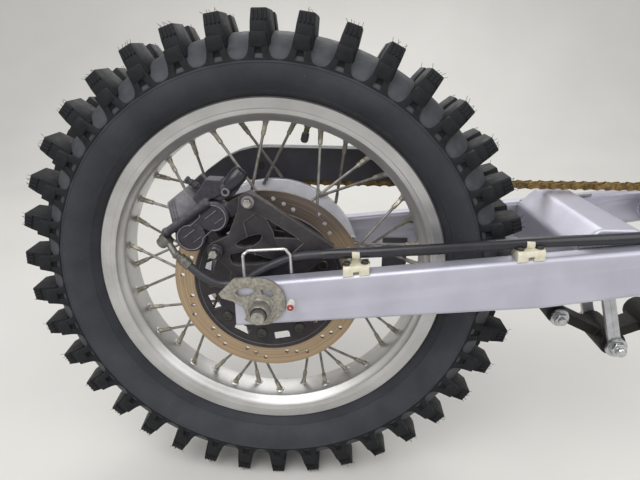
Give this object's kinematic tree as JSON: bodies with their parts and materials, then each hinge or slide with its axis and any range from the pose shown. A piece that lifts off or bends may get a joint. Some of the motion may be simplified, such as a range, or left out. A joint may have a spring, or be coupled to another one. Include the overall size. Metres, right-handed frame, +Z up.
{
  "type": "motorcycle rear wheel and swingarm assembly",
  "caption": "Spoked rear wheel with a knobbly tyre on a box-section swingarm, with disc brake, chain and guard.",
  "frame": {"origin": "middle of the swingarm pivot bore, on the wheel's centre plane", "axes": "+X forward from the wheel to the pivot and beyond, +Y to the machine's left along the pivot, +Z up"},
  "size_m": [1.04, 0.3, 0.6816],
  "materials": {
    "satin_aluminium": "satin anodised silver with a lilac tint",
    "rim_aluminium": "satin rolled aluminium",
    "hub_aluminium": "cast and machined aluminium",
    "tyre_rubber": "matt moulded rubber",
    "black_rubber": "matt black rubber",
    "black_steel": "satin black coating, dusty",
    "black_casting": "satin black anodised casting",
    "plated_steel": "zinc plated",
    "cream_plated_steel": "yellow passivated zinc",
    "dusty_steel": "dull plated steel under brown dust",
    "disc_steel": "brake disc steel with a brown film",
    "spoke_steel": "dull galvanised wire",
    "nipple_brass": "dull nickelled brass",
    "chain_steel": "gold plated links, oily",
    "guard_plastic": "moulded charcoal plastic",
    "rod_steel": "satin plated flat bar",
    "bright_wire": "bright plated wire",
    "pad_friction": "pressed friction block"
  },
  "bodies": {
    "swingarm": {"right_arm": "satin_aluminium", "left_arm": "satin_aluminium", "cross_member": "satin_aluminium", "pivot_tube": "satin_aluminium", "pivot_sleeve": "plated_steel", "pivot_bushes": "black_rubber", "adjuster_cam_right": "dusty_steel", "adjuster_cam_left": "dusty_steel", "stopper_pins": "plated_steel", "axle": "plated_steel", "axle_washers": "plated_steel", "axle_nut": "plated_steel", "axle_spacers": "plated_steel", "caliper_bracket": "black_steel", "caliper_body": "black_casting", "chain": "chain_steel", "chain_guard": "guard_plastic", "chain_guide": "guard_plastic", "chain_slider": "black_rubber", "relay_arm": "black_casting", "link_rods": "rod_steel", "link_bolts": "plated_steel", "brake_pads": "pad_friction", "slide_pins": "plated_steel", "bleed_nipple": "black_rubber", "banjo_bolt": "plated_steel", "hose_fittings": "dusty_steel", "brake_hose": "black_rubber", "hose_sleeve": "black_rubber", "hose_clamps": "cream_plated_steel", "wire_guard": "bright_wire"},
    "wheel": {"tyre": "tyre_rubber", "rim": "rim_aluminium", "spokes": "spoke_steel", "nipples": "nipple_brass", "valve": "black_rubber", "hub": "hub_aluminium", "wheel_bearings": "plated_steel", "disc": "disc_steel", "disc_carrier": "black_steel", "disc_bolts": "black_steel", "sprocket": "dusty_steel", "sprocket_bolts": "plated_steel"}
  },
  "joints": [
    {"name": "wheel_spin", "type": "hinge", "parent": "swingarm", "child": "wheel", "pos_m": [-0.585, 0, -0.068], "axis": [0, 1, 0], "continuous": true}
  ]
}
